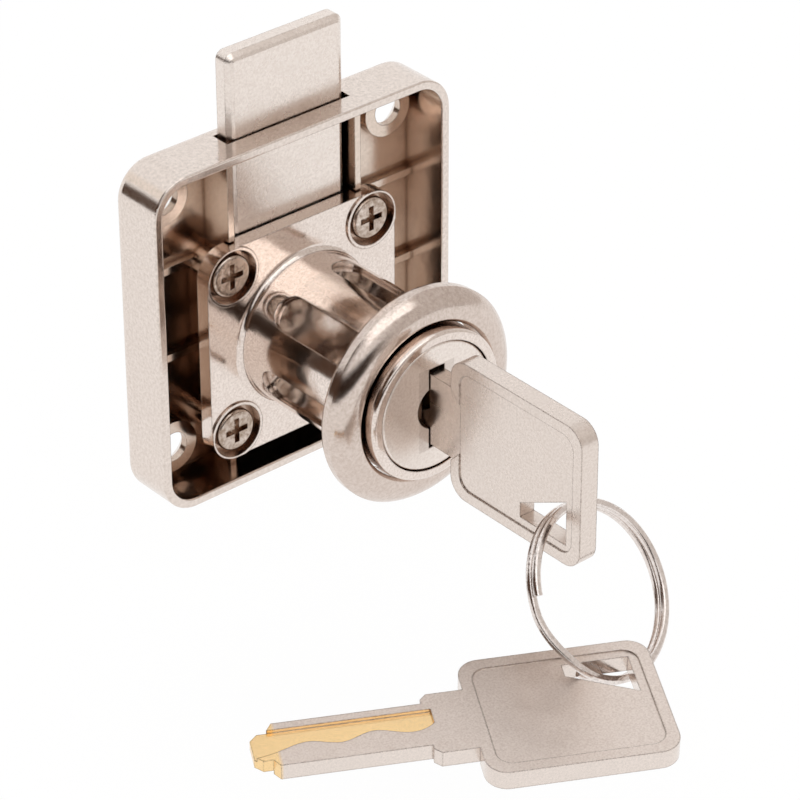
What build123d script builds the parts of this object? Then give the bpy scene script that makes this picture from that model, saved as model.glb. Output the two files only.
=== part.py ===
from build123d import *
import os
from math import cos, degrees, radians, sin

# A surface drawer lock with a 180 degree cam, its key, a spare key and a split ring.
# Millimetres. X to the right, Y into the drawer, Z up. The origin is on the barrel's
# axis, in the plane of the case's open rim, which bears on the back of the drawer front.
# The lock is modelled locked: bolt out, key in, key upright.

os.makedirs("parts", exist_ok=True)

# General clearances
slide_gap = 0.10        # between flat faces that slide on each other
turn_gap = 0.05         # radial, between a turning shaft and its bore
screw_gap = 0.03        # radial, between a screw's shank and its hole

# Case
case_width = 40.0
case_height = 40.3
case_depth = 7.0
case_centre_z = 4.0     # the barrel sits this far below the case's centre
case_wall = 1.05
case_floor = 1.0
case_corner_r = 4.2
case_back_edge_r = 1.2
case_rim_edge_r = 0.22
fixing_spacing = 30.4   # between the corner screw holes, both ways
fixing_hole_r = 1.75
fixing_sink_r = 3.0
fixing_boss_r = 3.1
fixing_boss_height = 1.3
cross_rib_z = [10.3, -0.3]
cross_rib_thickness = 0.9
cross_rib_height = 0.9

# Bolt
bolt_width = 15.6
bolt_thickness = 2.0
bolt_front_y = 2.9
bolt_reach = 9.8        # how far it stands out of the case when locked
bolt_travel = 9.6
bolt_tail_z = -4.9
bolt_corner_r = 1.0
bolt_bevel = 0.6        # along the sides
bolt_top_bevel = 0.2
bolt_side_gap = 0.45
bolt_guide_thickness = 0.8
bolt_guide_front_y = 1.9
bolt_rail_width = 0.8
bolt_rail_x = 5.6
bolt_slot_gap = 0.2     # in front of the bolt and behind it, where it leaves the case
guide_step_gap = 0.15   # from the flange's edge to the step in the guides

# Barrel and its square flange
barrel_r = 8.65
barrel_front_y = -21.0
barrel_nose_r = 0.45
flange_width = 25.7
flange_thickness = 1.8
flange_front_y = 0.85
flange_corner_r = 3.3
flange_fillet_r = 0.8
flute_count = 6
flute_first_angle = 15.0
flute_width = 4.0
flute_depth = 0.6
flute_start_y = -2.4
flute_end_y = -17.6

# Screws that hold the flange to the case
flange_screw_spacing = 19.1
flange_screw_r = 1.25
flange_screw_length = 3.4
flange_screw_head_r = 2.45
flange_screw_head_height = 1.05
flange_screw_head_edge_r = 0.4
flange_recess_r = 3.1
flange_recess_depth = 1.0
flange_recess_lip = 0.35
flange_recess_lip_height = 0.2
post_r = 1.6
driver_cross_length = 2.9
driver_cross_width = 0.62
driver_cross_depth = 0.65

# Trim ring round the barrel's nose
trim_inset = 0.5        # from the flange's edge to the trim ring's, seen from the front
trim_back_y = -16.75
trim_front_y = -19.7
trim_edge_height = 1.3
trim_gap = 0.28
trim_crown = 0.45
trim_crown_shift = 0.35
trim_edge_r = 0.45
trim_lip_width = 0.35
trim_lip_height = 0.3

# Plug
plug_r = 6.2
plug_head_r = 7.42
plug_head_gap = 0.09
plug_head_length = 1.6
plug_head_edge_r = 0.3
plug_front_y = -20.93
plug_back_y = 0.75
plug_tail_width = 6.0
plug_tail_length = 0.55
plug_end_gap = 0.10
scoop_r = 2.6
scoop_depth = 1.1
scoop_taper = 25
mouth_spare = 0.5       # above and below the key's shoulder
keyway_spare = 0.6      # behind the key's tip

# Drive cam behind the plug, with its pin in the bolt's cross slot
cam_r = 7.3
cam_back_y = 2.6
cam_pin_r = 1.4
cam_pin_back_gap = 0.10
cam_pin_floor = 0.6     # left of the cam in front of the drive pin
cam_pin_chamfer = 0.2
cam_slot_spare = 0.211  # the slot's play for a pin that swings on a circle, by its orbit
cam_slot_gap = 0.15
cam_slot_end_gap = 0.3
cam_seat_gap = 0.10
cam_square_gap = 0.03
cam_screw_r = 1.25
cam_screw_length = 3.0
cam_screw_head_r = 2.4
cam_screw_head_height = 1.15
cam_screw_head_gap = 0.1
cam_screw_sink = 0.1    # below the cam's back face
cam_screw_end_gap = 0.6
stop_pin_r = 0.4
stop_pin_length = 1.5
stop_pin_seat = 0.5     # how deep it is pressed into the flange
stop_notch_gap = 0.15
stop_notch_spare = 1.5  # degrees past each end of the half turn

# Keys
key_thickness = 1.9
key_bow_length = 19.8
key_bow_width = 16.7
key_bow_corner_r = 2.3
key_neck_length = 4.5
key_neck_width = 8.6
key_neck_corner = 0.7
key_blade_length = 17.6
key_blade_width = 6.1
key_tip_length = 1.8    # the narrow end of the blade
key_tip_run = 0.6
key_tip_chamfer = 0.8
key_root_overlap = 1.0
key_rim_width = 1.3
key_panel_depth = 0.15
key_step_height = 0.35  # how far one side of the bow stands proud of the neck
key_step_inset = 1.3
key_hole_length = 6.9
key_hole_height = 5.2
key_hole_tip = 1.7
key_hole_inset = 2.25   # from the hole's square corner to the bow's two edges
key_track_depth = 0.45
key_track_ledge = 0.9
key_track_start = -0.8  # from the shoulder to the track
key_track_overrun = 0.5 # past the tip
key_track_waves = [0.1, -0.7, 0.1, -0.9, -0.2, -1.0, -1.6]
key_seat_depth = 0.8    # how far the shoulder sits in the plug's face
key_slot_gap = 0.12

# Wafers and their springs
wafer_count = 7
wafer_pitch = 1.9
wafer_thickness = 0.8
wafer_side_gap = 0.10
wafer_first_y = -17.4
wafer_half_width = 2.9
wafer_lift = 0.8
wafer_window_height = 7.8
wafer_lug_reach = 1.7
wafer_lug_height = 1.2
wafer_nub_centre = 0.9
wafer_nub_height = 0.6
wafer_rim_gap = 0.10    # from a wafer's ends to the plug's surface when the key is in
wafer_groove_gap = 0.2
wafer_groove_side_gap = 0.3
wafer_edge_gap = 0.12
wafer_window_gap = 0.25
wafer_nub_gap = 0.15
wafer_lug_gap = 0.1
spring_r = 0.5
spring_wire_r = 0.09
spring_turns = 5
spring_length = 3.1
spring_end_gap = 0.1
spring_inset = 0.1      # from the lug's end
spring_hole_gap = 0.06

# Split ring
ring_r = 9.23           # to the middle of the wire
ring_wire_width = 0.90
ring_wire_height = 0.78
ring_wire_corner_r = 0.30
ring_turn_gap = 0.05
ring_ramp_degrees = 40.0
ring_end_degrees = 10.0
ring_ramp_start = 75.0
ring_ramp_steps = 6
ring_place = (0.95, -2.82, -5.14)    # its centre, from the corner of the key's hole
ring_normal = Vector(0.20, -0.80, 0.563)

# Spare key: the corner of its hole, from the ring's centre, and its tilt
spare_hole_place = (-1.472, -6.047, -4.879)
spare_key_tilt = (5.03, -3.51, -28.84)

# Places worked out from the sizes above
case_bottom_z = case_centre_z - case_height / 2
case_top_z = case_centre_z + case_height / 2
floor_y = case_depth - case_floor
bolt_back_y = bolt_front_y + bolt_thickness
bolt_channel_half = bolt_width / 2 + bolt_side_gap
flange_back_y = flange_front_y + flange_thickness
trim_r = flange_width / 2 - trim_inset
plug_bore_r = plug_r + turn_gap
cam_orbit_r = bolt_travel / 2
cam_front_y = plug_back_y + plug_end_gap
cam_seat_r = cam_r + cam_seat_gap
stop_pin_radius = (plug_bore_r + cam_seat_r) / 2
key_bow_y = plug_front_y + key_seat_depth - key_neck_length
key_track_half = key_blade_width / 2 - key_track_ledge
key_hole_along = key_bow_length - key_hole_inset
key_hole_across = key_bow_width / 2 - key_hole_inset
ring_centre = Vector(0, key_bow_y - key_hole_along, -key_hole_across) + Vector(ring_place)
wafer_radius = plug_r - wafer_rim_gap
wafer_groove_top = wafer_radius + wafer_lift + wafer_groove_gap
wafer_window_half = key_thickness / 2 + wafer_window_gap
spring_x = wafer_half_width + wafer_lug_reach - spring_r - spring_inset


def face_at(y):
    """The plane at a given depth, seen from the front: local x is X and local y is Z."""
    return Plane.XZ.offset(-y)


def wafer_y(number):
    return wafer_first_y + number * wafer_pitch


def wafer_side(number):
    """Even wafers are sprung upwards and odd ones downwards."""
    return 1 if number % 2 == 0 else -1


fixing_places = [(x, case_centre_z + z) for x in (-fixing_spacing / 2, fixing_spacing / 2)
                 for z in (-fixing_spacing / 2, fixing_spacing / 2)]
screw_places = GridLocations(flange_screw_spacing, flange_screw_spacing, 2, 2)

# Case: a die-cast tray with a floor, four walls, bosses, posts, ribs and the bolt's guides
with BuildPart() as lock_case:
    with BuildSketch(face_at(case_depth)):
        with Locations((0, case_centre_z)):
            RectangleRounded(case_width, case_height, case_corner_r)
    extrude(amount=case_depth)
    fillet(lock_case.edges().group_by(Axis.Y)[-1], case_back_edge_r)
    with BuildSketch(face_at(0)):
        with Locations((0, case_centre_z)):
            RectangleRounded(case_width - 2 * case_wall, case_height - 2 * case_wall,
                             case_corner_r - case_wall)
    extrude(amount=-floor_y, mode=Mode.SUBTRACT)
    fillet(lock_case.edges().group_by(Axis.Y)[0], case_rim_edge_r)
    # Bosses round the corner holes
    with BuildSketch(face_at(floor_y)):
        with Locations(*fixing_places):
            Circle(fixing_boss_r)
    extrude(amount=fixing_boss_height)
    # Posts that the barrel's flange is screwed to
    with BuildSketch(face_at(floor_y)):
        with screw_places:
            Circle(post_r)
    extrude(amount=floor_y - flange_back_y)
    # Cross ribs between the bolt's guides and the side walls
    guide_outer = bolt_channel_half + bolt_guide_thickness
    rib_length = case_width / 2 - case_wall - guide_outer
    with BuildSketch(face_at(floor_y)):
        for rib_z in cross_rib_z:
            for side in (-1, 1):
                with Locations((side * (guide_outer + rib_length / 2), rib_z)):
                    Rectangle(rib_length, cross_rib_thickness)
    extrude(amount=cross_rib_height)
    # Guides on both sides of the bolt, lower where the flange covers them
    guide_top_z = case_top_z - case_wall
    guide_bottom_z = case_bottom_z + case_wall
    guide_step_z = flange_width / 2 + guide_step_gap
    for low_z, high_z, front_y in ((guide_step_z, guide_top_z, bolt_guide_front_y),
                                   (guide_bottom_z, guide_step_z, flange_back_y + slide_gap)):
        with BuildSketch(face_at(floor_y)):
            for side in (-1, 1):
                with Locations((side * (bolt_channel_half + bolt_guide_thickness / 2),
                                (low_z + high_z) / 2)):
                    Rectangle(bolt_guide_thickness, high_z - low_z)
        extrude(amount=floor_y - front_y)
    # Rails that the bolt slides on
    with BuildSketch(face_at(floor_y)):
        for side in (-1, 1):
            with Locations((side * bolt_rail_x, (guide_bottom_z + guide_top_z) / 2)):
                Rectangle(bolt_rail_width, guide_top_z - guide_bottom_z)
    extrude(amount=floor_y - bolt_back_y - slide_gap)
    # Slot for the bolt through the top wall
    slot_front_y = bolt_front_y - bolt_slot_gap
    slot_back_y = bolt_back_y + bolt_slot_gap
    with BuildSketch(Plane.XY.offset(case_top_z - 2 * case_wall)):
        with Locations((0, (slot_front_y + slot_back_y) / 2)):
            Rectangle(2 * bolt_channel_half, slot_back_y - slot_front_y)
    extrude(amount=3 * case_wall, mode=Mode.SUBTRACT)
    # Corner holes, countersunk from the back for the fixing screws
    back = Plane(origin=(0, case_depth, 0), x_dir=(1, 0, 0), z_dir=(0, 1, 0))
    with Locations(*[back * Pos(x, -z) for x, z in fixing_places]):
        CounterSinkHole(fixing_hole_r, fixing_sink_r, depth=2 * case_depth)
    # Threaded holes in the posts, drawn at the screws' size
    with BuildSketch(face_at(flange_back_y)):
        with screw_places:
            Circle(flange_screw_r + screw_gap)
    extrude(amount=-(floor_y - flange_back_y), mode=Mode.SUBTRACT)
lock_case.part.label = "lock_case"

# Barrel housing: the fluted barrel and its square flange in one casting
with BuildPart() as barrel_housing:
    with BuildSketch(face_at(flange_back_y)):
        RectangleRounded(flange_width, flange_width, flange_corner_r)
    extrude(amount=flange_thickness)
    with BuildSketch(face_at(flange_front_y)):
        Circle(barrel_r)
    extrude(amount=flange_front_y - barrel_front_y)
    base = barrel_housing.edges().filter_by(GeomType.CIRCLE)
    base = base.filter_by(lambda e: abs(e.radius - barrel_r) < 0.01)
    fillet(base.group_by(Axis.Y)[-1], flange_fillet_r)
    nose = barrel_housing.edges().filter_by(GeomType.CIRCLE).group_by(Axis.Y)[0]
    fillet(nose, barrel_nose_r)
    # Raised lips round the screw recesses, then the recesses and the screw holes
    with BuildSketch(face_at(flange_front_y)):
        with screw_places:
            Circle(flange_recess_r + flange_recess_lip)
        RectangleRounded(flange_width, flange_width, flange_corner_r, mode=Mode.INTERSECT)
    extrude(amount=flange_recess_lip_height)
    with BuildSketch(face_at(flange_front_y - flange_recess_lip_height)):
        with screw_places:
            Circle(flange_recess_r)
    extrude(amount=-(flange_recess_lip_height + flange_recess_depth), mode=Mode.SUBTRACT)
    with BuildSketch(face_at(flange_back_y)):
        with screw_places:
            Circle(flange_screw_r + screw_gap)
    extrude(amount=flange_thickness, mode=Mode.SUBTRACT)
    # Bore for the plug, its head and the drive cam
    with BuildSketch(face_at(flange_back_y)):
        Circle(plug_bore_r)
    extrude(amount=flange_back_y - barrel_front_y, mode=Mode.SUBTRACT)
    with BuildSketch(face_at(barrel_front_y)):
        Circle(plug_head_r + plug_head_gap)
    extrude(amount=barrel_front_y - plug_front_y - plug_head_length - slide_gap, mode=Mode.SUBTRACT)
    with BuildSketch(face_at(flange_back_y)):
        Circle(cam_seat_r)
    extrude(amount=flange_back_y - cam_front_y + slide_gap / 2, mode=Mode.SUBTRACT)
    # Two grooves that the wafers spring out into
    with BuildSketch(face_at(wafer_y(0) - wafer_pitch / 2)):
        Rectangle(2 * (wafer_half_width + wafer_groove_side_gap), 2 * wafer_groove_top)
    extrude(amount=-wafer_count * wafer_pitch, mode=Mode.SUBTRACT)
    # Hole for the stop pin
    with BuildSketch(face_at(cam_front_y)):
        with Locations((0, -stop_pin_radius)):
            Circle(stop_pin_r)
    extrude(amount=stop_pin_seat, mode=Mode.SUBTRACT)
    # Round-ended flutes along the barrel
    flute_radius = (flute_width ** 2 / 4 + flute_depth ** 2) / (2 * flute_depth)
    for number in range(flute_count):
        angle = radians(flute_first_angle + number * 360 / flute_count)
        outward = Vector(cos(angle), 0, sin(angle))
        flute_plane = Plane(origin=outward * barrel_r, x_dir=(0, 1, 0), z_dir=outward)
        with BuildSketch(flute_plane):
            with Locations(((flute_start_y + flute_end_y) / 2, 0)):
                SlotOverall(flute_start_y - flute_end_y, flute_width)
        extrude(amount=-flute_depth, mode=Mode.SUBTRACT)
barrel_housing.part.label = "barrel_housing"

# Trim ring: a domed collar that covers the hole in the drawer front
with BuildPart() as trim_ring:
    trim_bore_r = barrel_r + trim_gap
    with BuildSketch(Plane.XY):
        with BuildLine():
            edge_y = trim_back_y - trim_edge_height
            back = Line((trim_bore_r, trim_back_y), (trim_r - trim_edge_r, trim_back_y))
            corner = RadiusArc(back @ 1, (trim_r, trim_back_y - trim_edge_r), trim_edge_r)
            edge = Line(corner @ 1, (trim_r, edge_y))
            dome = ThreePointArc(edge @ 1,
                                 ((trim_r + trim_bore_r) / 2 + trim_crown_shift,
                                  (edge_y + trim_front_y) / 2 - trim_crown),
                                 (trim_bore_r + trim_lip_width, trim_front_y))
            lip = Line(dome @ 1, (trim_bore_r, trim_front_y + trim_lip_height))
            Line(lip @ 1, back @ 0)
        make_face()
    revolve(axis=Axis.Y)
trim_ring.part.label = "trim_ring"

# Four cross-head screws through the flange
with BuildPart() as barrel_screws:
    head_seat_y = flange_front_y + flange_recess_depth
    with BuildSketch(face_at(head_seat_y)):
        with screw_places:
            Circle(flange_screw_head_r)
    extrude(amount=flange_screw_head_height)
    fillet(barrel_screws.edges().group_by(Axis.Y)[0], flange_screw_head_edge_r)
    with BuildSketch(face_at(head_seat_y)):
        with screw_places:
            Circle(flange_screw_r)
    extrude(amount=-flange_screw_length)
    with BuildSketch(face_at(head_seat_y - flange_screw_head_height)):
        with screw_places:
            Rectangle(driver_cross_length, driver_cross_width)
            Rectangle(driver_cross_width, driver_cross_length)
    extrude(amount=-driver_cross_depth, mode=Mode.SUBTRACT)
barrel_screws.part.label = "barrel_screws"

# Plug: head, body with the keyway, wafer slots and spring holes, and a square tail
with BuildPart() as plug:
    plug_shoulder_y = plug_front_y + plug_head_length
    with BuildSketch(face_at(plug_front_y)):
        Circle(plug_head_r)
    extrude(amount=-plug_head_length)
    fillet(plug.edges().group_by(Axis.Y)[0], plug_head_edge_r)
    with BuildSketch(face_at(plug_shoulder_y)):
        Circle(plug_r)
    extrude(amount=-(plug_back_y - plug_shoulder_y))
    with BuildSketch(face_at(plug_back_y)):
        Rectangle(plug_tail_width, plug_tail_width)
    extrude(amount=-plug_tail_length)
    # Mouth for the key's shoulder, with a round scoop, and the keyway behind it
    with BuildSketch(face_at(plug_front_y)):
        Rectangle(key_thickness + 2 * key_slot_gap, key_neck_width + 2 * mouth_spare)
    extrude(amount=-key_seat_depth - slide_gap, mode=Mode.SUBTRACT)
    with BuildSketch(face_at(plug_front_y)):
        Circle(scoop_r)
    extrude(amount=-scoop_depth, taper=scoop_taper, mode=Mode.SUBTRACT)
    with BuildSketch(face_at(plug_front_y)):
        Rectangle(key_thickness + 2 * key_slot_gap, key_blade_width + 2 * key_slot_gap)
    extrude(amount=-(key_seat_depth + key_blade_length + keyway_spare), mode=Mode.SUBTRACT)
    # Wafer slots right through, with room for each wafer's lug and spring
    for number in range(wafer_count):
        side = wafer_side(number)
        slot_front = wafer_y(number) - wafer_thickness / 2 - wafer_side_gap
        with BuildSketch(face_at(slot_front)):
            Rectangle(2 * (wafer_half_width + wafer_edge_gap), 2 * plug_head_r)
            lug_low = -wafer_lug_height / 2 - wafer_lug_gap
            lug_high = wafer_lug_height / 2 + wafer_lift + wafer_lug_gap
            with Locations((side * (wafer_half_width + wafer_lug_reach) / 2,
                            side * (lug_low + lug_high) / 2)):
                Rectangle(wafer_half_width + wafer_lug_reach + 2 * wafer_lug_gap,
                          lug_high - lug_low)
        extrude(amount=-(wafer_thickness + 2 * wafer_side_gap), mode=Mode.SUBTRACT)
        spring_seat_z = -side * (wafer_lug_height / 2 + wafer_lug_gap + spring_length)
        hole_plane = Plane(origin=(side * spring_x, wafer_y(number), spring_seat_z),
                           z_dir=(0, 0, side))
        with BuildSketch(hole_plane):
            Circle(spring_r + spring_wire_r + spring_hole_gap)
        extrude(amount=spring_length, mode=Mode.SUBTRACT)
    # Hole for the cam's screw
    with BuildSketch(face_at(plug_back_y + plug_tail_length)):
        Circle(cam_screw_r + screw_gap)
    extrude(amount=plug_tail_length + cam_screw_length, mode=Mode.SUBTRACT)
plug.part.label = "plug"

# Drive cam: a disc with a rim notch for the stop pin and a square hole for the tail
with BuildPart() as drive_cam:
    with BuildSketch(face_at(cam_front_y)):
        Circle(cam_r)
    extrude(amount=-(cam_back_y - cam_front_y))
    with BuildSketch(face_at(cam_front_y)):
        Rectangle(plug_tail_width + 2 * cam_square_gap, plug_tail_width + 2 * cam_square_gap)
    extrude(amount=-(plug_tail_length - plug_end_gap + slide_gap / 2), mode=Mode.SUBTRACT)
    with Locations(Plane(origin=(0, cam_back_y, 0), x_dir=(-1, 0, 0), z_dir=(0, 1, 0))):
        CounterSinkHole(cam_screw_r + screw_gap, cam_screw_head_r + cam_screw_head_gap)
    # The drive pin's hole
    with BuildSketch(face_at(cam_back_y)):
        with Locations((0, cam_orbit_r)):
            Circle(cam_pin_r)
    extrude(amount=cam_back_y - cam_front_y - cam_pin_floor, mode=Mode.SUBTRACT)
    # Half a turn of the rim is cut back, so that the cam turns 180 degrees and stops
    notch_past = degrees(stop_pin_r / stop_pin_radius) + stop_notch_spare
    notch_r = stop_pin_radius - stop_pin_r - stop_notch_gap
    with BuildSketch(face_at(cam_front_y)):
        with BuildLine():
            outer = CenterArc((0, 0), 2 * cam_r, 90 - notch_past, 180 + 2 * notch_past)
            inner = CenterArc((0, 0), notch_r, 90 - notch_past, 180 + 2 * notch_past)
            Line(outer @ 0, inner @ 0)
            Line(outer @ 1, inner @ 1)
        make_face()
    extrude(amount=-(stop_pin_length - stop_pin_seat + slide_gap), mode=Mode.SUBTRACT)
drive_cam.part.label = "drive_cam"

# Drive pin, pressed into the cam off its centre
with BuildPart() as drive_pin:
    pin_front_y = cam_front_y + cam_pin_floor
    pin_back_y = bolt_back_y - cam_pin_back_gap
    with BuildSketch(face_at(pin_front_y)):
        with Locations((0, cam_orbit_r)):
            Circle(cam_pin_r)
    extrude(amount=-(pin_back_y - pin_front_y))
    chamfer(drive_pin.edges().group_by(Axis.Y)[-1], cam_pin_chamfer)
drive_pin.part.label = "drive_pin"

# Countersunk screw that holds the cam on the plug's tail
with BuildPart() as cam_screw:
    screw_back_y = cam_back_y - cam_screw_sink
    screw_neck_y = screw_back_y - cam_screw_head_height
    screw_end_y = screw_neck_y - cam_screw_length + cam_screw_end_gap
    with BuildSketch(Plane.XY):
        Polygon((0, screw_back_y), (cam_screw_head_r, screw_back_y), (cam_screw_r, screw_neck_y),
                (cam_screw_r, screw_end_y), (0, screw_end_y), align=None)
    revolve(axis=Axis.Y)
    with BuildSketch(face_at(screw_back_y)):
        Rectangle(driver_cross_length, driver_cross_width)
        Rectangle(driver_cross_width, driver_cross_length)
    extrude(amount=driver_cross_depth, mode=Mode.SUBTRACT)
cam_screw.part.label = "cam_screw"

# Stop pin in the flange
with BuildPart() as stop_pin:
    with BuildSketch(face_at(cam_front_y - stop_pin_seat)):
        with Locations((0, -stop_pin_radius)):
            Circle(stop_pin_r)
    extrude(amount=-stop_pin_length)
stop_pin.part.label = "stop_pin"

# Bolt: a flat bar with rounded top corners and a cross slot for the drive pin
with BuildPart() as bolt:
    bolt_top_z = case_top_z + bolt_reach
    with BuildSketch(face_at(bolt_front_y)):
        with Locations((0, (bolt_top_z + bolt_tail_z) / 2)):
            Rectangle(bolt_width, bolt_top_z - bolt_tail_z)
    extrude(amount=-bolt_thickness)
    fillet(bolt.edges().filter_by(Axis.Y), bolt_corner_r)
    with BuildSketch(face_at(bolt_front_y)):
        with Locations((0, cam_orbit_r)):
            RectangleRounded(2 * (cam_orbit_r + cam_pin_r + cam_slot_end_gap),
                             2 * (cam_pin_r + cam_slot_spare * cam_orbit_r + cam_slot_gap), bolt_corner_r)
    extrude(amount=-bolt_thickness, mode=Mode.SUBTRACT)
    face_edges = bolt.faces().sort_by(Axis.Y)[0].outer_wire().edges()
    chamfer(face_edges.filter_by(Axis.Z), bolt_bevel)
    top_edge = bolt.faces().sort_by(Axis.Y)[0].edges().filter_by(Axis.X).sort_by(Axis.Z)[-1]
    chamfer(top_edge, bolt_top_bevel)
bolt.part.label = "bolt"


def key_hole():
    """The four-sided hole near the bow's far corner."""
    far_x, high_y = key_hole_along, key_hole_across
    near_x = far_x - key_hole_length
    return Polygon((near_x, high_y), (near_x, high_y - key_hole_tip),
                   (far_x, high_y - key_hole_height), (far_x, high_y),
                   align=None, mode=Mode.PRIVATE)


def mirrored(points):
    """A run of points, then the same run mirrored in local x, back to the start."""
    return points + [(x, -y) for x, y in reversed(points)]


def make_key(place, name):
    """A flat key. Local x runs from the blade to the bow, local y to the hole's side."""
    half_neck = key_neck_width / 2
    half_blade = key_blade_width / 2
    shoulder_x = -key_neck_length
    tip_x = shoulder_x - key_blade_length
    neck = mirrored([(key_root_overlap, half_neck), (shoulder_x + key_neck_corner, half_neck),
                     (shoulder_x, half_neck - key_neck_corner)])
    blade = mirrored([(shoulder_x + key_root_overlap, half_blade),
                      (tip_x + key_tip_length + key_tip_run, half_blade),
                      (tip_x + key_tip_length, key_track_half),
                      (tip_x + key_tip_chamfer, key_track_half),
                      (tip_x, key_track_half - key_tip_chamfer)])
    with BuildPart() as key:
        with BuildSketch(place.offset(-key_thickness / 2)):
            with Locations((key_bow_length / 2, 0)):
                RectangleRounded(key_bow_length, key_bow_width, key_bow_corner_r)
            Polygon(*neck, align=None)
            Polygon(*blade, align=None)
            add(key_hole(), mode=Mode.SUBTRACT)
        extrude(amount=key_thickness)
        # One side of the bow stands proud, with its edge set back round the neck
        with BuildSketch(place.offset(-key_thickness / 2)):
            with Locations((key_bow_length / 2, 0)):
                RectangleRounded(key_bow_length, key_bow_width, key_bow_corner_r)
            Polygon(*mirrored([(-key_step_inset, half_neck + key_step_inset),
                               (key_step_inset, half_neck - key_step_inset)]),
                    align=None, mode=Mode.SUBTRACT)
            add(key_hole(), mode=Mode.SUBTRACT)
        extrude(amount=-key_step_height)
        for side in (1, -1):
            top = place.offset(side * key_thickness / 2)
            bow_top = top if side > 0 else top.offset(-key_step_height)
            # Shallow panel inside the raised rim of the bow
            with BuildSketch(bow_top):
                with Locations((key_bow_length / 2, 0)):
                    RectangleRounded(key_bow_length - 2 * key_rim_width,
                                     key_bow_width - 2 * key_rim_width,
                                     key_bow_corner_r - key_rim_width / 2)
            extrude(amount=-side * key_panel_depth, mode=Mode.SUBTRACT)
            # Milled track with one straight edge and one wavy edge
            with BuildSketch(top):
                with BuildLine():
                    start_x = shoulder_x - key_track_start
                    far_x = tip_x - key_track_overrun
                    step = (start_x - far_x) / (len(key_track_waves) - 1)
                    points = [(start_x - number * step, side * y)
                              for number, y in enumerate(key_track_waves)]
                    wave = Spline(points)
                    straight_y = side * key_track_half
                    Polyline(wave @ 0, (start_x, straight_y), (far_x, straight_y), wave @ 1)
                make_face()
            extrude(amount=-side * key_track_depth, mode=Mode.SUBTRACT)
    key.part.label = name
    return key.part


# The key in the plug, and the spare key on the ring
key = make_key(Plane(origin=(0, key_bow_y, 0), x_dir=(0, -1, 0), z_dir=(1, 0, 0)), "key")
spare_axes = Plane(Location(ring_centre + Vector(spare_hole_place), spare_key_tilt))
spare_start = spare_axes.from_local_coords((-key_hole_along, -key_hole_across, 0))
spare_key = make_key(Plane(origin=spare_start, x_dir=spare_axes.x_dir, z_dir=spare_axes.z_dir),
                     "spare_key")


def make_wafer(number):
    """A thin plate with a window for the key, a nub in the key's track and a spring lug."""
    side = wafer_side(number)
    y = wafer_y(number) - wafer_thickness / 2
    with BuildPart() as wafer:
        with BuildSketch(face_at(y)):
            Circle(wafer_radius)
            Rectangle(2 * wafer_half_width, 2 * wafer_radius, mode=Mode.INTERSECT)
            with Locations((side * (wafer_half_width + wafer_lug_reach) / 2, 0)):
                Rectangle(wafer_half_width + wafer_lug_reach, wafer_lug_height)
            Rectangle(2 * wafer_window_half, wafer_window_height, mode=Mode.SUBTRACT)
            nub_reach = wafer_window_half - (key_thickness / 2 - key_track_depth) - wafer_nub_gap
            with Locations((side * (wafer_window_half - nub_reach / 2),
                            -side * wafer_nub_centre)):
                Rectangle(nub_reach, wafer_nub_height)
        extrude(amount=-wafer_thickness)
    wafer.part.label = f"wafer_{number + 1}"
    return wafer.part


wafers = [make_wafer(number) for number in range(wafer_count)]


def make_springs(side, name):
    """One small coil spring under the lug of each wafer that is sprung to this side."""
    free_height = spring_length - 2 * spring_wire_r - spring_end_gap
    with BuildPart() as coil:
        with BuildLine() as path:
            Helix(free_height / spring_turns, free_height, spring_r)
        with BuildSketch(path.line ^ 0):
            Circle(spring_wire_r)
        sweep(is_frenet=True)
    low_z = wafer_lug_height / 2 + wafer_lug_gap + spring_wire_r
    with BuildPart() as springs:
        for number in range(wafer_count):
            if wafer_side(number) == side:
                seat = Location((side * spring_x, wafer_y(number), -side * low_z),
                                (0, 180 if side > 0 else 0, 0))
                add(coil.part.moved(seat))
    springs.part.label = name
    return springs.part


springs = [make_springs(1, "wafer_springs_up"), make_springs(-1, "wafer_springs_down")]

# Split ring: two turns of flattened wire side by side, joined by a short ramp
ring_plane = Plane(origin=ring_centre, x_dir=ring_normal.cross(Vector(0, 0, 1)).cross(ring_normal),
                   z_dir=ring_normal)
ring_shift = ring_wire_height / 2 + ring_turn_gap / 2


def wire_plane(angle, shift):
    """The plane across the wire at an angle round the ring, moved along the ring's axis."""
    outward = ring_plane.x_dir * cos(radians(angle)) + ring_plane.y_dir * sin(radians(angle))
    middle = ring_plane.origin + outward * ring_r + ring_plane.z_dir * shift
    return Plane(origin=middle, x_dir=outward, z_dir=outward.cross(ring_plane.z_dir))


with BuildPart() as split_ring:
    ring_axis = Axis(ring_plane.origin, ring_plane.z_dir)
    ramp_end = ring_ramp_start + ring_ramp_degrees
    turns = [(-ring_shift, ring_ramp_start - 360 + ring_ramp_degrees + ring_end_degrees,
              360 - ring_ramp_degrees - ring_end_degrees),
             (ring_shift, ramp_end, 360 - ring_ramp_degrees - ring_end_degrees)]
    for shift, start_angle, arc in turns:
        with BuildSketch(wire_plane(start_angle, shift)):
            RectangleRounded(ring_wire_width, ring_wire_height, ring_wire_corner_r)
        revolve(axis=ring_axis, revolution_arc=arc)
    for step in range(ring_ramp_steps + 1):
        share = step / ring_ramp_steps
        eased = share * share * (3 - 2 * share)
        with BuildSketch(wire_plane(ring_ramp_start + share * ring_ramp_degrees,
                                    ring_shift * (2 * eased - 1))):
            RectangleRounded(ring_wire_width, ring_wire_height, ring_wire_corner_r)
    loft()
split_ring.part.label = "split_ring"

pieces = [lock_case, barrel_housing, trim_ring, barrel_screws, stop_pin, plug, drive_cam,
          drive_pin, cam_screw, bolt, split_ring]
for solid in [piece.part for piece in pieces] + [key, spare_key] + wafers + springs:
    export_step(solid, f"parts/{solid.label}.step")
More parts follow.
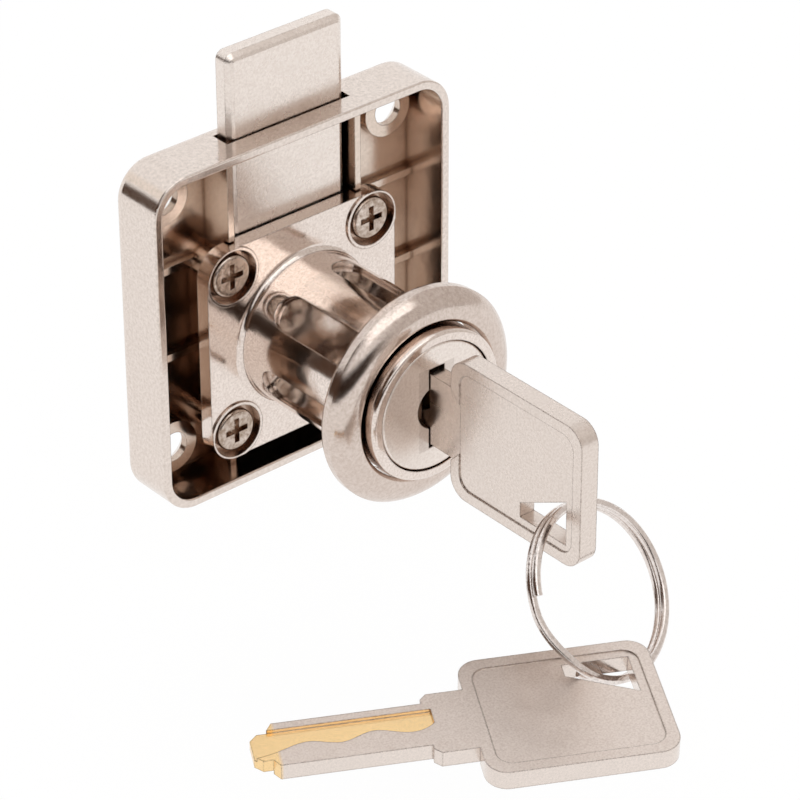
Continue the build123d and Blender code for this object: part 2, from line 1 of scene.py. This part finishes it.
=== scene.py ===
import bpy
import bmesh
import math
from mathutils import Matrix, Vector


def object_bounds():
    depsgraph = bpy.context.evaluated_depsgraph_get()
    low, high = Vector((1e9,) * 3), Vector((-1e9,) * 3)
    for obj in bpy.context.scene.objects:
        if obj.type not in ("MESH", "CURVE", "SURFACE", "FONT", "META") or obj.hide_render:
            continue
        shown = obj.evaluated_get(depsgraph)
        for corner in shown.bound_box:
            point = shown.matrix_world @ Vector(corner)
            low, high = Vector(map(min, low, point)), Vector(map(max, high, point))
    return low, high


# Looks for the drawer lock. Metres, in the frame of the CAD model.
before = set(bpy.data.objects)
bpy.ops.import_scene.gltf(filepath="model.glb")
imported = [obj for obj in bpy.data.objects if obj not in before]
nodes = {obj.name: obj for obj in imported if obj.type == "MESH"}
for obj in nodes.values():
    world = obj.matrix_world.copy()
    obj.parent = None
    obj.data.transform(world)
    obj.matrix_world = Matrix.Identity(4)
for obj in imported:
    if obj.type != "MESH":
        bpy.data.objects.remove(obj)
cad_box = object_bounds()
scene = bpy.context.scene
MM = 0.001
CENTRE = (0.0, 0.0, 0.0)
ACROSS, INTO, UP = (1.0, 0.0, 0.0), (0.0, 1.0, 0.0), (0.0, 0.0, 1.0)

# The camera that took the photograph, as fitted to the corners of the case and the keys
CAMERA_AZIMUTH, CAMERA_ELEVATION, CAMERA_ROLL = -40.430, 32.104, -0.198
CAMERA_DISTANCE = 420.615 * MM
CAMERA_TARGET = Vector((0.039, -15.0, -2.110)) * MM
FOCAL_PIXELS, PHOTO_PIXELS = 3992.743, 800
SENSOR_WIDTH = 36.0
CLIP_NEAR, CLIP_FAR = 0.01, 10.0

# Floor
FLOOR_REACH = 1.5
SWING_ROOM = 20.0 * MM      # under the keys, which hang lower where the ring swings
FLOOR_WHITE_SHARE = 0.95    # the rest of it shows the object's shadow

# Lamps: name, place, size and energy
LAMPS = (("left_softbox", (-0.30, -0.40, 0.40), 0.30, 0.7),
         ("top_softbox", (0.15, 0.05, 0.60), 0.30, 0.5))

# Where the tray's inside, the plug's mouth and a key's milled track lie, in millimetres. The tray's inside
# and the plug's mouth are given painted shade. The track and the tip are measured along the key from where
# its neck meets its bow.
TRAY_SIDE, TRAY_LOW, TRAY_HIGH = 18.97, -14.98, 23.08
TRAY_FRONT, TRAY_BACK = 0.35, 6.1
MOUTH_SIDE, MOUTH_HEIGHT = 2.35, 4.9
MOUTH_FRONT, MOUTH_BACK = -20.85, 0.5
TIP_END, TRACK_END, TRACK_START = -23.0, -19.8, -3.7
TRACK_HALF_WIDTH, TRACK_HALF_DEPTH = 2.1, 0.85

# Where each key's neck meets its bow, in metres, and the spare key's own axes at rest
KEY_START = (0.0, -24.63 * MM, 0.0)
SPARE_START = (-18.803 * MM, -47.839 * MM, -16.962 * MM)
SPARE_ALONG = (0.87433, -0.48521, 0.01113)
SPARE_ACROSS = (0.48146, 0.87001, 0.10622)
SPARE_UP = (-0.06122, -0.08751, 0.99428)

# Grain of the plate. Each pair is the stretch of a noise or a cosine over which an effect comes or goes.
CLOUD_SCALE, WAVE_SCALE = 260.0, 420.0
SPECK_RANGE, CLOUD_RANGE = (0.35, 0.62), (0.3, 0.7)
GLOSS_RANGE, BREAK_RANGE = (0.25, 0.75), (0.3, 0.6)
EDGE_RANGE, SIDE_RANGE = (0.85, 0.995), (0.3, 0.6)
CLOUD_SHARE = 0.8           # how much of the lighter colour the darkest cloud leaves
GLOSS_LOW, GLOSS_HIGH = 0.8, 1.25
PATCH_DARK = 0.9
EDGE_SHADE_WIDTH = 1.6            # the painted edge shade's width, by the edge's radius
EDGE_SHADE_BROKEN = 0.4           # what is left of an edge's painted shade where the grain breaks it
BEVEL_SAMPLES, OPENNESS_SAMPLES = 4, 6


def tone(red, green, blue):
    return (red, green, blue, 1.0)


WHITE = tone(1.0, 1.0, 1.0)
DARK_ROOM = tone(0.085, 0.050, 0.034)
NICKEL, NICKEL_DARK = tone(0.82, 0.73, 0.67), tone(0.70, 0.61, 0.55)
BRASS = tone(1.0, 0.72, 0.38)
# Painted shade: the colour of the dark lines on edges and in corners, and of the darkening in recesses.
EDGE_SHADE, HOLLOW_SHADE = tone(0.14, 0.09, 0.065), tone(0.26, 0.15, 0.09)


def direction(azimuth, elevation):
    """The unit vector towards a place seen from the lock, in degrees. 0, 0 is straight before its front."""
    azimuth, elevation = math.radians(azimuth), math.radians(elevation)
    return Vector((math.sin(azimuth) * math.cos(elevation),
                   -math.cos(azimuth) * math.cos(elevation), math.sin(elevation)))


def make_camera():
    back = direction(CAMERA_AZIMUTH, CAMERA_ELEVATION)
    data = bpy.data.cameras.new("camera")
    data.sensor_width = SENSOR_WIDTH
    data.lens = FOCAL_PIXELS / PHOTO_PIXELS * SENSOR_WIDTH
    data.clip_start, data.clip_end = CLIP_NEAR, CLIP_FAR
    camera = bpy.data.objects.new("camera", data)
    scene.collection.objects.link(camera)
    roll = Matrix.Rotation(math.radians(CAMERA_ROLL), 3, "Z")
    turn = (-back).to_track_quat("-Z", "Y").to_matrix() @ roll
    camera.matrix_world = Matrix.Translation(CAMERA_TARGET + back * CAMERA_DISTANCE) @ turn.to_4x4()
    scene.camera = camera


class Shader:
    """A material's node tree, with short calls for the few kinds of node used here."""

    def __init__(self, name):
        self.material = bpy.data.materials.new(name)
        self.material.use_nodes = True
        self.tree = self.material.node_tree
        self.surface = self.tree.nodes["Principled BSDF"]
        self.place = self.tree.nodes.new("ShaderNodeTexCoord").outputs["Object"]

    def link(self, source, target):
        self.tree.links.new(source, target)

    def set(self, socket, value):
        if hasattr(value, "links"):
            self.link(value, socket)
        else:
            socket.default_value = value

    def noise(self, scale, detail, roughness=0.55):
        node = self.tree.nodes.new("ShaderNodeTexNoise")
        node.inputs["Scale"].default_value = scale
        node.inputs["Detail"].default_value = detail
        node.inputs["Roughness"].default_value = roughness
        self.link(self.place, node.inputs["Vector"])
        return node.outputs["Fac"]

    def ranged(self, value, low, high, to_low, to_high):
        node = self.tree.nodes.new("ShaderNodeMapRange")
        self.set(node.inputs["Value"], value)
        for name, number in (("From Min", low), ("From Max", high),
                             ("To Min", to_low), ("To Max", to_high)):
            node.inputs[name].default_value = number
        return node.outputs["Result"]

    def math(self, operation, a, b=0.0):
        node = self.tree.nodes.new("ShaderNodeMath")
        node.operation = operation
        self.set(node.inputs[0], a)
        self.set(node.inputs[1], b)
        return node.outputs["Value"]

    def vector_math(self, operation, a, b, result):
        node = self.tree.nodes.new("ShaderNodeVectorMath")
        node.operation = operation
        self.set(node.inputs[0], a)
        self.set(node.inputs[1], b)
        return node.outputs[result]

    def dot(self, a, b):
        return self.vector_math("DOT_PRODUCT", a, b, "Value")

    def flat_normal(self):
        """The mesh's own normals, in the scene's axes."""
        return self.tree.nodes.new("ShaderNodeNewGeometry").outputs["Normal"]

    def along(self, origin, line):
        """How far a point lies from an origin along a line, in millimetres."""
        offset = self.vector_math("SUBTRACT", self.place, origin, "Vector")
        return self.dot(offset, Vector(line) / MM)

    def mix(self, share, a, b):
        """Two colours by a share."""
        node = self.tree.nodes.new("ShaderNodeMix")
        node.data_type = "RGBA"
        self.set(node.inputs[0], share)
        self.set(node.inputs[6], a)
        self.set(node.inputs[7], b)
        return node.outputs[2]

    def blend(self, share, a, b):
        """Two numbers by a share."""
        node = self.tree.nodes.new("ShaderNodeMix")
        node.data_type = "FLOAT"
        self.set(node.inputs[0], share)
        self.set(node.inputs[2], a)
        self.set(node.inputs[3], b)
        return node.outputs[0]

    def within(self, spans, soft):
        """1 where a point lies in every span. A span is an origin, a line and two distances in mm."""
        mask = None
        for origin, line, low, high in spans:
            distance = self.along(origin, line)
            rise = self.ranged(distance, low - soft, low, 0.0, 1.0)
            fall = self.ranged(distance, high, high + soft, 1.0, 0.0)
            both = self.math("MULTIPLY", rise, fall)
            mask = both if mask is None else self.math("MULTIPLY", mask, both)
        return mask

    def rounded(self, radius):
        """Normals that round the sharp edges by a radius in millimetres."""
        node = self.tree.nodes.new("ShaderNodeBevel")
        node.samples = BEVEL_SAMPLES
        node.inputs["Radius"].default_value = radius * MM
        return node.outputs["Normal"]

    def near_edge(self, radius):
        """1 on an edge or in a corner and 0 away from it, by a radius in millimetres."""
        cosine = self.dot(self.rounded(radius), self.flat_normal())
        return self.ranged(cosine, *EDGE_RANGE, 1.0, 0.0)

    def hollow_shade(self, distance, low, high):
        """How closed in a point is, for the painted shade in recesses, from 1 at an openness of low to 0 at
        high, within a distance in mm.
        """
        node = self.tree.nodes.new("ShaderNodeAmbientOcclusion")
        node.samples = OPENNESS_SAMPLES
        node.inputs["Distance"].default_value = distance * MM
        return self.ranged(node.outputs["AO"], low, high, 1.0, 0.0)

    def bump(self, height, distance, before):
        node = self.tree.nodes.new("ShaderNodeBump")
        node.inputs["Strength"].default_value = 1.0
        node.inputs["Distance"].default_value = distance
        self.link(height, node.inputs["Height"])
        self.link(before, node.inputs["Normal"])
        return node.outputs["Normal"]


def plated(name, colour, dark, rough, grain, grain_depth, wave_depth=0.0, edge=0.12, line=0.0,
           hollow_shades=(), stain=0.0, patches=()):
    """Metal with fine grain, cloudy gloss, painted shade and, where asked, slow waves of the casting
    under its plate.

    The line is how dark the painted shade along the edges and in corners is, which stands in for dark
    reflections on the rounded edges and shade in the corners, and the stain how much the clouds darken.
    Each entry of the recess shade is a distance in mm with an openness where this painted shade is
    darkest and one where it ends, and each patch a colour, a roughness and a function for its mask.
    Depths are in metres, the edge's radius in mm."""
    shader = Shader(name)
    fine = shader.noise(grain, 4.0, 0.65)
    cloud = shader.noise(CLOUD_SCALE, 3.0)
    speck = shader.ranged(fine, *SPECK_RANGE, 0.0, 1.0)
    share = shader.math("MULTIPLY", speck, shader.ranged(cloud, *CLOUD_RANGE, CLOUD_SHARE - stain, 1.0))
    tint = shader.mix(share, dark, colour)
    gloss = shader.ranged(cloud, *GLOSS_RANGE, rough * GLOSS_LOW, rough * GLOSS_HIGH)
    for patch_colour, patch_rough, patch_mask in patches:
        mask = patch_mask(shader)
        patch_dark = tone(*[channel * PATCH_DARK for channel in patch_colour[:3]])
        tint = shader.mix(mask, tint, shader.mix(share, patch_dark, patch_colour))
        gloss = shader.blend(mask, gloss, patch_rough)
    # Painted shade: a dark line along edges and in corners, standing in for dark reflections on the rounded
    # edges and shade in the corners.
    if line:
        broken = shader.ranged(fine, *BREAK_RANGE, line, line * EDGE_SHADE_BROKEN)
        edge_shade_share = shader.math("MULTIPLY", shader.near_edge(edge * EDGE_SHADE_WIDTH), broken)
        tint = shader.mix(edge_shade_share, tint, EDGE_SHADE)
    # Painted shade: darker the more closed in a point is, in recesses and corners.
    for hollow_shade in hollow_shades:
        tint = shader.mix(shader.hollow_shade(*hollow_shade), tint, HOLLOW_SHADE)
    shader.set(shader.surface.inputs["Base Color"], tint)
    shader.surface.inputs["Metallic"].default_value = 1.0
    shader.set(shader.surface.inputs["Roughness"], gloss)
    normal = shader.bump(fine, grain_depth, shader.rounded(edge))
    if wave_depth:
        normal = shader.bump(shader.noise(WAVE_SCALE, 1.0), wave_depth, normal)
    shader.set(shader.surface.inputs["Normal"], normal)
    return shader.material


def dress(material, *names):
    for name in names:
        slots = nodes[name].data.materials
        slots.clear()
        slots.append(material)


def seen_white(tree, shade, share=1.0):
    """A shader that is white to the camera and in reflections, and the given one to other light."""
    white = tree.nodes.new("ShaderNodeEmission")
    path = tree.nodes.new("ShaderNodeLightPath")
    seen = path.outputs["Is Camera Ray"]
    for name in ("Is Glossy Ray", "Is Transmission Ray"):
        both = tree.nodes.new("ShaderNodeMath")
        both.operation = "MAXIMUM"
        tree.links.new(seen, both.inputs[0])
        tree.links.new(path.outputs[name], both.inputs[1])
        seen = both.outputs["Value"]
    weight = tree.nodes.new("ShaderNodeMath")
    weight.operation = "MULTIPLY"
    tree.links.new(seen, weight.inputs[0])
    weight.inputs[1].default_value = share
    mix = tree.nodes.new("ShaderNodeMixShader")
    tree.links.new(weight.outputs["Value"], mix.inputs[0])
    tree.links.new(shade, mix.inputs[1])
    tree.links.new(white.outputs[0], mix.inputs[2])
    return mix.outputs[0]


def make_floor():
    mesh = bpy.data.meshes.new("floor")
    low = cad_box[0][2] - SWING_ROOM
    corners = [(x * FLOOR_REACH, y * FLOOR_REACH, low) for x, y in ((-1, -1), (1, -1), (1, 1), (-1, 1))]
    mesh.from_pydata(corners, [], [(0, 1, 2, 3)])
    floor = bpy.data.objects.new("floor", mesh)
    scene.collection.objects.link(floor)
    material = bpy.data.materials.new("floor")
    material.use_nodes = True
    tree = material.node_tree
    surface = tree.nodes["Principled BSDF"]
    surface.inputs["Base Color"].default_value = tone(0.92, 0.91, 0.90)
    surface.inputs["Roughness"].default_value = 0.9
    surface.inputs["Specular IOR Level"].default_value = 0.0
    shown = seen_white(tree, surface.outputs[0], FLOOR_WHITE_SHARE)
    tree.links.new(shown, tree.nodes["Material Output"].inputs["Surface"])
    mesh.materials.append(material)


def make_card(name, azimuth, elevation, half_width, half_height, soft, colour, strength=1.0, radius=0.9):
    """A soft-edged studio card on a sphere round the object, seen only in reflections.

    Its place, half sizes and soft edge are in degrees. Each card has a sphere of its own size."""
    mesh = bpy.data.meshes.new(name)
    shape = bmesh.new()
    bmesh.ops.create_uvsphere(shape, u_segments=48, v_segments=24, radius=radius)
    shape.to_mesh(mesh)
    shape.free()
    card = bpy.data.objects.new(name, mesh)
    scene.collection.objects.link(card)
    shader = Shader(name)
    towards = direction(azimuth, elevation)
    turn = math.radians(azimuth)
    across = Vector((math.cos(turn), math.sin(turn), 0.0))
    reach = radius / MM
    wide, high, fade = (reach * math.sin(math.radians(angle)) for angle in (half_width, half_height, soft))
    mask = shader.within([(CENTRE, towards, 1.0, 2.0 * reach), (CENTRE, across, -wide, wide),
                          (CENTRE, towards.cross(across), -high, high)], fade)
    glow = shader.tree.nodes.new("ShaderNodeEmission")
    glow.inputs["Color"].default_value = colour
    glow.inputs["Strength"].default_value = strength
    clear = shader.tree.nodes.new("ShaderNodeBsdfTransparent")
    mixed = shader.tree.nodes.new("ShaderNodeMixShader")
    shader.link(mask, mixed.inputs[0])
    shader.link(clear.outputs[0], mixed.inputs[1])
    shader.link(glow.outputs[0], mixed.inputs[2])
    shader.link(mixed.outputs[0], shader.tree.nodes["Material Output"].inputs["Surface"])
    mesh.materials.append(shader.material)
    card.visible_camera = False
    card.visible_diffuse = False
    card.visible_shadow = False
    card.visible_transmission = False


def make_lights():
    world = bpy.data.worlds.new("world")
    scene.world = world
    world.use_nodes = True
    tree = world.node_tree
    shade = tree.nodes["Background"]
    shade.inputs["Color"].default_value = tone(0.96, 0.95, 0.94)
    shade.inputs["Strength"].default_value = 1.0
    tree.links.new(seen_white(tree, shade.outputs[0]), tree.nodes["World Output"].inputs["Surface"])
    for name, place, size, energy in LAMPS:
        data = bpy.data.lights.new(name, "AREA")
        data.size = size
        data.energy = energy
        lamp = bpy.data.objects.new(name, data)
        lamp.location = place
        lamp.rotation_mode = "QUATERNION"
        lamp.rotation_quaternion = (-Vector(place)).to_track_quat("-Z", "Y")
        lamp.visible_glossy = False
        scene.collection.objects.link(lamp)


def make_cards():
    make_card("front_horizon", azimuth=-40.0, elevation=5.0, half_width=68.0, half_height=10.0, soft=8.0,
              colour=tone(0.030, 0.017, 0.011))
    make_card("front_right", azimuth=50.0, elevation=30.0, half_width=36.0, half_height=26.0, soft=14.0,
              colour=tone(0.70, 0.66, 0.63), radius=0.88)
    make_card("overhead_front", azimuth=2.0, elevation=51.0, half_width=20.0, half_height=10.0, soft=5.0,
              colour=WHITE, strength=1.7, radius=0.86)
    make_card("overhead_right", azimuth=34.0, elevation=70.0, half_width=16.0, half_height=7.0, soft=4.0,
              colour=WHITE, strength=1.3, radius=0.82)
    make_card("left_back", azimuth=-92.0, elevation=26.0, half_width=28.0, half_height=26.0, soft=6.0,
              colour=DARK_ROOM, radius=0.84)
    make_card("left_low", azimuth=-122.0, elevation=2.0, half_width=16.0, half_height=14.0, soft=6.0,
              colour=DARK_ROOM, radius=0.80)


# Painted shade: the case's tray inside is given a darker, browner colour than its outside.
def tray_inside_shade(shader):
    return shader.within([(CENTRE, ACROSS, -TRAY_SIDE, TRAY_SIDE), (CENTRE, UP, TRAY_LOW, TRAY_HIGH),
                          (CENTRE, INTO, TRAY_FRONT, TRAY_BACK)], 0.3)


# Painted shade: the inside of the plug's mouth is given a dark brown colour.
def plug_mouth_shade(shader):
    return shader.within([(CENTRE, ACROSS, -MOUTH_SIDE, MOUTH_SIDE),
                          (CENTRE, UP, -MOUTH_HEIGHT, MOUTH_HEIGHT),
                          (CENTRE, INTO, MOUTH_FRONT, MOUTH_BACK)], 0.1)


def spare_sides(shader):
    """The spare key's edges, told from its faces by where they look in the scene's axes."""
    cosine = shader.dot(shader.flat_normal(), SPARE_UP)
    return shader.ranged(shader.math("ABSOLUTE", cosine), *SIDE_RANGE, 1.0, 0.0)


def milled(start, along, across, normal):
    """A mask for a key's milled track and tip, where the brass shows through the plate."""
    def mask(shader):
        track = shader.within([(start, along, TRACK_END, TRACK_START),
                               (start, across, -TRACK_HALF_WIDTH, TRACK_HALF_WIDTH),
                               (start, normal, -TRACK_HALF_DEPTH, TRACK_HALF_DEPTH)], 0.06)
        tip = shader.within([(start, along, TIP_END, TRACK_END)], 0.4)
        return shader.math("MAXIMUM", track, tip)
    return mask


def dress_the_lock():
    # Painted shade: dark edge lines, darkening in recesses and, on the case, a darker tray inside and, on
    # the plug, a dark mouth.
    dress(plated("case_nickel", NICKEL, NICKEL_DARK, rough=0.17, grain=2600.0, grain_depth=1.5e-6,
                 wave_depth=2.5e-5, line=0.7, hollow_shades=[(0.6, 0.25, 0.85), (8.0, 0.1, 0.65)],
                 patches=[(tone(0.78, 0.66, 0.57), 0.17, tray_inside_shade)]), "lock_case")
    dress(plated("barrel_nickel", tone(0.86, 0.77, 0.71), tone(0.71, 0.61, 0.55), rough=0.12,
                 grain=4200.0, grain_depth=2e-6, wave_depth=3e-5, edge=0.15, line=0.8,
                 hollow_shades=[(1.0, 0.25, 0.85)], stain=0.1), "barrel_housing")
    dress(plated("screw_nickel", tone(0.74, 0.64, 0.57), tone(0.34, 0.25, 0.19), rough=0.20,
                 grain=1500.0, grain_depth=8e-6, edge=0.10, line=0.8,
                 hollow_shades=[(0.7, 0.25, 0.85)], stain=0.4), "barrel_screws")
    dress(plated("trim_nickel", tone(0.72, 0.62, 0.56), tone(0.60, 0.50, 0.44), rough=0.15,
                 grain=2600.0, grain_depth=2e-6, wave_depth=2e-5, edge=0.15), "trim_ring")
    dress(plated("bolt_nickel", tone(0.87, 0.79, 0.73), tone(0.77, 0.68, 0.62), rough=0.26,
                 grain=3200.0, grain_depth=5e-6, line=0.5), "bolt")
    # Painted shade: the plug's mouth is dark brown.
    dress(plated("plug_nickel", tone(0.90, 0.82, 0.76), tone(0.76, 0.67, 0.61), rough=0.30,
                 grain=3200.0, grain_depth=4e-6, line=0.7,
                 patches=[(tone(0.20, 0.13, 0.09), 0.45, plug_mouth_shade)]), "plug")


def dress_the_keys():
    key_brass = milled(KEY_START, (0.0, -1.0, 0.0), (0.0, 0.0, -1.0), ACROSS)
    spare_brass = milled(SPARE_START, SPARE_ALONG, SPARE_ACROSS, SPARE_UP)
    # Painted shade: dark lines along both keys' edges.
    dress(plated("key_nickel", NICKEL, NICKEL_DARK, rough=0.26, grain=3600.0, grain_depth=8e-6,
                 edge=0.15, line=1.0, patches=[(BRASS, 0.22, key_brass)]), "key")
    dress(plated("spare_key_nickel", tone(0.84, 0.75, 0.69), tone(0.68, 0.58, 0.52), rough=0.36,
                 grain=4600.0, grain_depth=1e-5, edge=0.15, line=1.0,
                 patches=[(NICKEL, 0.20, spare_sides), (BRASS, 0.25, spare_brass)]), "spare_key")


def dress_the_rest():
    dress(plated("steel", tone(0.88, 0.81, 0.77), tone(0.70, 0.63, 0.59), rough=0.16, grain=2600.0,
                 grain_depth=2e-6), "split_ring", "stop_pin", "drive_pin", "cam_screw", "drive_cam",
          "wafer_springs_up", "wafer_springs_down")
    dress(plated("brass", tone(0.80, 0.52, 0.20), tone(0.52, 0.28, 0.07), rough=0.25, grain=2600.0,
                 grain_depth=4e-6), *[f"wafer_{number}" for number in range(1, 8)])


scene.view_settings.view_transform = "Standard"
make_camera()
make_lights()
make_floor()
make_cards()
dress_the_lock()
dress_the_keys()
dress_the_rest()
